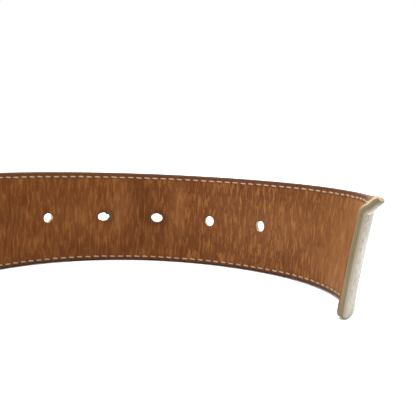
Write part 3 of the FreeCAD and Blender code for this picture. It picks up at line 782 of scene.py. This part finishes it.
# waxed two-ply thread: the twist shows as slanting ridges
def threadMaterial(name, light, dark):
    material, tree, shader = startMaterial(name)
    length = uvOf(tree, "thread")
    twist = node(tree, "TexWave", {"Vector": length, "Scale": threadLook["twist"], "Distortion": 1.5,
                                   "Detail": 2.0}, bands_direction="DIAGONAL")
    grain = grouped(tree, "grain", {"Map": length, "Scale": threadLook["grain"]})
    tone = weighted(tree, (twist.outputs["Fac"], 0.6), (grain["Speckle"], 0.5))
    feed(tree, shader, {"Base Color": mixColour(tree, band(tree, tone, 0.2, 0.8), dark, light),
                        "Roughness": band(tree, tone, 0.2, 0.8, 0.75, 0.5)})
    bumpInto(tree, shader, tone, 0.6, threadLook["relief"])
    return material


tapeLook = {
    "light": (0.150, 0.085, 0.045),
    "dark": (0.060, 0.032, 0.018),
    "warp": 700.0,
    "weft": 520.0,
    "grain": 2200.0,
    "relief": 0.2 * mm,
}


# zip tape: a close herringbone weave
def tapeMaterial():
    material, tree, shader = startMaterial("wovenTape")
    place = node(tree, "TexCoord", {}).outputs["Object"]
    warp = node(tree, "TexWave", {"Vector": place, "Scale": tapeLook["warp"], "Distortion": 0.6},
                bands_direction="Z")
    weft = node(tree, "TexWave", {"Vector": place, "Scale": tapeLook["weft"], "Distortion": 0.8},
                bands_direction="DIAGONAL")
    weave = times(tree, warp.outputs["Fac"], weft.outputs["Fac"])
    grain = grouped(tree, "grain", {"Map": place, "Scale": tapeLook["grain"]})
    tone = weighted(tree, (weave, 1.0), (grain["Speckle"], 0.4))
    colour = mixColour(tree, band(tree, tone, 0.1, 1.0), tapeLook["dark"], tapeLook["light"])
    feed(tree, shader, {"Base Color": colour, "Roughness": band(tree, tone, 0.1, 1.0, 0.9, 0.75)})
    bumpInto(tree, shader, tone, 0.5, tapeLook["relief"])
    return material


metalLook = {
    # bright, tarnished, closeness of the tarnish
    "nickel": ((0.250, 0.240, 0.222), (0.165, 0.152, 0.132), 150.0),
    "brass": ((0.250, 0.160, 0.062), (0.120, 0.072, 0.028), 300.0),
    "wire": ((0.230, 0.225, 0.215), (0.150, 0.142, 0.130), 400.0),
    "relief": 0.1 * mm,
}


# cast or drawn metal, softly brushed, with tarnish in patches
def metalMaterial(name, bright, dull, patchScale):
    material, tree, shader = startMaterial(name)
    place = node(tree, "TexCoord", {}).outputs["Object"]
    worn = grouped(tree, "metal", {"Map": place, "Scale": patchScale})
    feed(tree, shader, {"Base Color": mixColour(tree, worn["Tarnish"], bright, dull),
                        "Roughness": worn["Roughness"], "Metallic": 1.0})
    bumpInto(tree, shader, worn["Height"], 0.25, metalLook["relief"])
    return material


looks = {
    "lining": liningMaterial(),
    "cream": creamMaterial("creamFace", belt["stitchMargin"]),
    "keeper": creamMaterial("creamKeeper", creamLook["keeperGroove"]),
    "flesh": fleshMaterial(),
    "cutOuter": cutMaterial("cutEdgeOuter", 1.0),
    "cutCore": cutMaterial("cutEdgeCore", 0.78),
    "cutLining": cutMaterial("cutEdgeLining", 0.92),
    "bobbinThread": threadMaterial("khakiThread", *threadLook["bobbin"]),
    "needleThread": threadMaterial("creamThread", *threadLook["needle"]),
    "tape": tapeMaterial(),
    "nickel": metalMaterial("satinNickel", *metalLook["nickel"]),
    "brass": metalMaterial("antiqueBrass", *metalLook["brass"]),
    "wire": metalMaterial("brightWire", *metalLook["wire"]),
}
print("materials made")


cameraView = {
    "place": Vector((-24.61, -152.29, 59.7)) * mm,
    "pitch": 6.53,          # degrees below level
    "roll": 2.3,
    "lens": 54.5,
}


def makeCamera():
    data = bpy.data.cameras.new("camera")
    data.lens = cameraView["lens"]
    data.sensor_width = 36.0
    data.clip_start = 0.005
    camera = addObject("camera", data)
    turn = Matrix.Rotation(math.radians(90 - cameraView["pitch"]), 4, "X")
    turn = turn @ Matrix.Rotation(math.radians(cameraView["roll"]), 4, "Z")
    camera.matrix_world = Matrix.Translation(cameraView["place"]) @ turn
    bpy.context.scene.camera = camera


studio = {
    "reach": 1.5,             # of the floor, from its middle
    "gap": 0.03 * mm,         # between the floor and the belt's lower edge
    "floor": (0.93, 0.93, 0.93),
    "world": 1.0,
    "lights": (
        # name, place, target, size, power
        ("key", (-0.95, -0.75, 0.60), (0.0, 0.10, 0.02), 0.8, 9.5),
        ("back", (0.10, 0.95, 0.80), (0.0, 0.05, 0.02), 0.9, 5.0),
        ("top", (0.05, 0.15, 1.30), (0.0, 0.05, 0.0), 1.4, 34.0),
    ),
}


def makeStudio():
    mesh = bpy.data.meshes.new("floor")
    half = studio["reach"]
    corners = [(-half, -half, 0), (half, -half, 0), (half, half, 0), (-half, half, 0)]
    mesh.from_pydata(corners, [], [(0, 1, 2, 3)])
    floor = addObject("floor", mesh)
    floor.location.z = -studio["gap"]
    material, tree, shader = startMaterial("paleFloor")
    feed(tree, shader, {"Base Color": (*studio["floor"], 1.0), "Roughness": 0.9, "Specular IOR Level": 0.1})
    mesh.materials.append(material)
    for name, place, target, size, power in studio["lights"]:
        data = bpy.data.lights.new(name, "AREA")
        data.size = size
        data.energy = power
        lamp = addObject(name, data)
        lamp.location = place
        lamp.rotation_euler = (Vector(target) - Vector(place)).to_track_quat("-Z", "Y").to_euler()
    world = bpy.data.worlds.new("studio")
    bpy.context.scene.world = world
    world.use_nodes = True
    background = world.node_tree.nodes["Background"]
    feed(world.node_tree, background, {"Color": (1.0, 1.0, 1.0, 1.0), "Strength": studio["world"]})
    bpy.context.scene.view_settings.view_transform = "Standard"


makeCamera()
makeStudio()
print("camera and studio made")


zipPlace = {
    "centre": belt["straight"] + belt["bends"][0][1] + belt["bends"][1][1] / 2,
    "length": 280.0 * mm,
    "slotHeight": 9.0 * mm,
    "slotEnd": 3.0 * mm,
    "pocketLength": 300.0 * mm,
    "pocketHeight": 29.0 * mm,
    "seamMargin": 1.6 * mm,
}
zipStart = zipPlace["centre"] - zipPlace["length"] / 2
zipFinish = zipPlace["centre"] + zipPlace["length"] / 2

fold = {
    "flap": 68.0 * mm,
    "start": 10.0 * mm,
    "radius": 2.25 * mm,      # middle of the leather where it goes round the bar
    "slotHeight": 5.0 * mm,
    "slotReach": 12.0 * mm,
}


dents = {
    # slow waves of the lining's face: depth, size along, size up, and where the pattern is taken
    "waves": ((0.05, 2.6, 16.0, 1.0), (0.08, 6.5, 20.0, 5.0)),
    # pressed in beside a hole: hole, distance towards the tip, depth
    "pressed": ((1, 4.6, 0.42), (2, 5.4, 0.16), (2, -4.2, 0.12), (3, 9.0, 0.05)),
    "pressedSize": (1.5, 3.2),
    # folds across the strap by the worn hole: distance towards the tip, depth
    "folds": ((3.9, 0.14), (5.6, 0.10), (-5.2, 0.10)),
    "foldHole": 2,
    "foldWidth": 0.55,
    "foldLean": 0.06,
}


# creases and dents in the lining's face that are deep enough to be shape (the values above are in mm)
def liningRelief(s, z):
    deep, up = 0.0, (z - middle) / mm
    for depth, along, tall, taken in dents["waves"]:
        deep += depth * noise.noise(Vector((s / mm / along, z / mm / tall, taken)))
    for i, reach, depth in dents["pressed"]:
        away = (s - firstHole - i * holes["spacing"]) / mm - reach
        deep += depth * math.exp(-(away / dents["pressedSize"][0]) ** 2 - (up / dents["pressedSize"][1]) ** 2)
    fading = 0.6 + 0.4 * math.cos((z - middle) / middle * 2.4)
    for reach, depth in dents["folds"]:
        away = (s - firstHole - dents["foldHole"] * holes["spacing"]) / mm - reach - up * dents["foldLean"]
        deep += depth * math.exp(-(away / dents["foldWidth"]) ** 2) * fading
    return deep * mm


# the outer leather's place; before zero it goes round the bar and back along the flap
def outerPlace(t, offset, z):
    half = (belt["outer"][0] + belt["outer"][1]) / 2
    thick = offset - half
    radius, centre = fold["radius"], belt["barOffset"]
    turn = math.pi * radius
    if t >= fold["start"]:
        return strapPoint(t, offset, z)
    if t >= 0:
        swell = (centre + radius - half) * smooth(1 - t / fold["start"])
        return strapPoint(t, offset + swell, z)
    if t >= -turn:
        angle = -t / radius
        reach = radius + thick
        return Vector((barAxis.x + reach * math.cos(angle), barAxis.y + reach * math.sin(angle), z))
    back = -t - turn
    rest = -(belt["outer"][1] - belt["outer"][0]) / 2
    swell = (centre - radius - rest) * smooth(1 - back / fold["start"])
    return strapPoint(back, rest + swell - thick, z)


def makeLayers():
    holeStops = holeMarks()
    holeRows = [middle - holes["patch"], middle + holes["patch"]]
    slot = [zipStart - zipPlace["slotEnd"], zipFinish + zipPlace["slotEnd"],
            middle - zipPlace["slotHeight"] / 2, middle + zipPlace["slotHeight"] / 2]
    trim = belt["liningTrim"]
    grid = flatGrid(alongLines(fold["start"], holeStops + slot[:2] + [belt["narrowUntil"]]),
                    acrossLines(holeRows + slot[2:], trim), [slot])
    lining = layerPiece("liningLeather", grid, strapPoint, belt["lining"], trim, (0.7 * mm, 0.0),
                        ("lining", "cutLining"), liningRelief)
    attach(lining, "strap")
    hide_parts("lining_strap")

    halfLength, halfHeight = zipPlace["pocketLength"] / 2, zipPlace["pocketHeight"] / 2
    pocket = [zipPlace["centre"] - halfLength, zipPlace["centre"] + halfLength,
              middle - halfHeight, middle + halfHeight]
    trim = belt["coreTrim"]
    grid = flatGrid(alongLines(fold["start"], holeStops + pocket[:2]),
                    acrossLines(holeRows + pocket[2:], trim), [pocket])
    core = layerPiece("coreBoard", grid, strapPoint, belt["core"], trim, (0.0, 0.0), ("cutCore", "cutCore"))
    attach(core, "strap")
    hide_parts("core_strip")

    turn = math.pi * fold["radius"]
    far = -turn - fold["flap"]
    prongSlot = [-turn - fold["slotReach"], fold["slotReach"],
                 middle - fold["slotHeight"] / 2, middle + fold["slotHeight"] / 2]
    alongFold = spread(far, prongSlot[0], 2.5 * mm) + spread(prongSlot[0], -turn, 1.5 * mm)
    alongFold += spread(-turn, 0.0, 0.5 * mm) + spread(0.0, fold["start"], 1.0 * mm)
    grid = flatGrid(alongFold + alongLines(fold["start"], holeStops + [prongSlot[1], belt["narrowUntil"]]),
                    acrossLines(holeRows + prongSlot[2:], 0.0), [prongSlot])
    outer = layerPiece("outerLeather", grid, outerPlace, belt["outer"], 0.0, (0.0, 0.9 * mm),
                       ("cream", "cutOuter", "flesh"))
    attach(outer, "strap")
    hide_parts("outer_strap")


makeLayers()
print("strap layers made")


stitch = {
    "pitch": 3.8 * mm,
    "dash": 3.0 * mm,
    "width": 0.60 * mm,
    "height": 0.48 * mm,
    "sink": 0.20 * mm,
    "slant": 3.0,             # degrees off the row
    "start": 71.0 * mm,
}


# one stitch: a short bowed length of thread whose ends dive into the leather
def addStitch(verts, faces, maps, place, s, z, alongS, alongZ, side, face):
    rings, around = 8, 8
    base = len(verts)
    for i in range(rings + 1):
        t = -1 + 2 * i / rings
        fat = max(0.10, 1 - abs(t) ** 3.5) ** 0.5
        lift = stitch["height"] * 0.5 * (1 - t * t) - stitch["sink"]
        for k in range(around):
            angle = 2 * math.pi * k / around
            wide = stitch["width"] / 2 * fat * math.cos(angle)
            tall = stitch["height"] / 2 * fat * math.sin(angle)
            ps = s + alongS * t * stitch["dash"] / 2 - alongZ * wide
            pz = z + alongZ * t * stitch["dash"] / 2 + alongS * wide
            verts.append(place(ps, face + side * (lift + tall), pz))
            maps.append((s + t * stitch["dash"] / 2, wide))
    for i in range(rings):
        for k in range(around):
            a, b = base + i * around + k, base + i * around + (k + 1) % around
            faces.append((a, b, b + around, a + around) if side < 0 else (a, a + around, b + around, b))
    faces.append(tuple(base + k for k in range(around))[::side])
    faces.append(tuple(base + rings * around + k for k in range(around))[::-side])


# rows of stitches as one piece; each row is a list of (s, z) turning points
def stitchRows(name, rows, place, face, side, node, look, seed):
    random.seed(seed)
    verts, faces, maps = [], [], []
    for row in rows:
        for (s0, z0), (s1, z1) in zip(row, row[1:]):
            length = math.hypot(s1 - s0, z1 - z0)
            count = max(1, round(length / stitch["pitch"]))
            for i in range(count):
                part = (i + 0.5) / count
                s = s0 + (s1 - s0) * part + random.uniform(-0.10, 0.10) * mm
                z = z0 + (z1 - z0) * part + random.uniform(-0.06, 0.06) * mm
                slant = math.radians(stitch["slant"] + random.uniform(-2, 2)) * side
                angle = math.atan2(z1 - z0, s1 - s0) + slant
                addStitch(verts, faces, maps, place, s, z, math.cos(angle), math.sin(angle), side, face)
    piece = simplePiece(name, verts, faces, {"thread": maps}, look)
    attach(piece, "strap")
    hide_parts(node)


# rows beside both edges, joined across the tip
def edgeRows(margin):
    stops = [stitch["start"]] + [belt["narrowUntil"] + belt["taper"] * i / 4 for i in range(5)]
    stops += [beltLength - margin * 1.9]
    lower = [(s, inset(s) + margin) for s in stops]
    upper = [(s, belt["width"] - z) for s, z in lower]
    end = beltLength - margin
    return [lower, upper, [(end, margin * 2.0), (end, belt["width"] - margin * 2.0)]]


def seamRow():
    reach = zipPlace["slotHeight"] / 2 + zipPlace["seamMargin"]
    run = zipPlace["slotEnd"] + zipPlace["seamMargin"]
    a, b, low, high = zipStart - run, zipFinish + run, middle - reach, middle + reach
    return [[(a, low), (b, low), (b, high), (a, high), (a, low)]]


stitchRows("liningStitches", edgeRows(belt["stitchMargin"]), strapPoint, 0.0, -1, "bobbin_thread",
           "bobbinThread", 11)
stitchRows("faceStitches", edgeRows(belt["stitchMargin"]), outerPlace, belt["outer"][1], 1, "needle_thread",
           "needleThread", 12)
stitchRows("zipSeam", seamRow(), strapPoint, 0.0, -1, "zip_thread", "bobbinThread", 13)
print("stitching made")


keeper = {
    "leather": 1.5 * mm,
    "width": 10.0 * mm,
    "height": 44.8 * mm,
    "far": 10.0 * mm,        # from the lining's face out to the band's outer side
    "corner": 3.0 * mm,      # of the middle of the leather
    "edge": 0.45 * mm,
    "bow": 0.35 * mm,        # the long sides bulge a little
    "step": 1.2 * mm,
    "turns": 8,              # steps round each corner
    "bowFrom": 10,           # a side with fewer steps stays straight
}


# a band of leather round the strap, at a distance from the bar; near is where its inner side lies
def makeKeeper(name, at, near, body, node):
    half = keeper["leather"] / 2
    y0, y1 = near - half, keeper["far"] - half
    z0, z1 = half, keeper["height"] - half
    r = keeper["corner"]
    y0, y1, z0, z1 = y0 + r, y1 - r, z0 + r, z1 - r
    line = []
    for cy, cz, start in ((y1, z1, 0), (y0, z1, 90), (y0, z0, 180), (y1, z0, 270)):
        for i in range(keeper["turns"] + 1):
            angle = math.radians(start + 90 * i / keeper["turns"])
            line.append((cy + r * math.cos(angle), cz + r * math.sin(angle), math.cos(angle), math.sin(angle)))
    path = []
    for (ya, za, na, ma), (yb, zb, nb, mb) in zip(line, line[1:] + line[:1]):
        count = max(1, round(math.hypot(yb - ya, zb - za) / keeper["step"]))
        for i in range(count):
            part = i / count
            bow = keeper["bow"] * math.sin(math.pi * part) if count > keeper["bowFrom"] else 0.0
            ny, nz = na + (nb - na) * part, ma + (mb - ma) * part
            if ny < -0.9:
                bow = 0.0     # it lies flat on the strap's inner side
            path.append((ya + (yb - ya) * part + ny * bow, za + (zb - za) * part + nz * bow, ny, nz))
    wide, e = keeper["width"] / 2, keeper["edge"]
    slant = e * (1 - math.sqrt(0.5))
    outer = [(-wide, half - e), (-wide + slant, half - slant), (-wide + e, half)]
    outer += [(-wide + keeper["width"] * i / 8, half) for i in range(1, 8)]
    outer += [(-x, d) for x, d in reversed(outer[:3])]
    profile = outer + [(-x, -d) for x, d in outer]
    verts, faces, flat, rim = [], [], [], []
    length = 0.0
    for k, (y, z, ny, nz) in enumerate(path):
        for x, d in profile:
            across = barAxis.x - belt["barOffset"] + y + ny * d
            verts.append(Vector((across, barAxis.y - at - x, z + nz * d)))
            flat.append((length, x))
            rim.append((wide - abs(x) if abs(d) >= half - 1e-9 else 0.0, 0.02))
        after = path[(k + 1) % len(path)]
        length += math.hypot(after[0] - y, after[1] - z)
    n, m = len(path), len(profile)
    for k in range(n):
        for i in range(m):
            a, b = k * m + i, k * m + (i + 1) % m
            c, d = (k + 1) % n * m + (i + 1) % m, (k + 1) % n * m + i
            faces.append((a, b, c, d))
    piece = simplePiece(name, verts, faces, {"strap": flat, "wear": rim}, "keeper")
    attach(piece, body)
    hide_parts(node)


makeKeeper("fixedKeeperBand", 23.0 * mm, -1.3 * mm, "strap", "fixed_keeper")
makeKeeper("looseKeeperBand", 48.0 * mm, -1.6 * mm, "loose_keeper", "sliding_keeper")
print("keepers made")


fittings = {
    "tape": ("zip_tape_upper", "zip_tape_lower"),
    "brass": ("zip_teeth_upper", "zip_teeth_lower", "zip_bottom_stop", "zip_top_stops", "zip_slider",
              "zip_pull"),
    "nickel": ("buckle_frame", "buckle_bar", "prong", "screw_posts", "screw_heads"),
    "wire": ("fixed_keeper_staple", "sliding_keeper_staple"),
}
for look, names in fittings.items():
    for name in names:
        part = frame["nodes"][name]
        part.data.materials.clear()
        part.data.materials.append(looks[look])
print("metal and tapes finished")
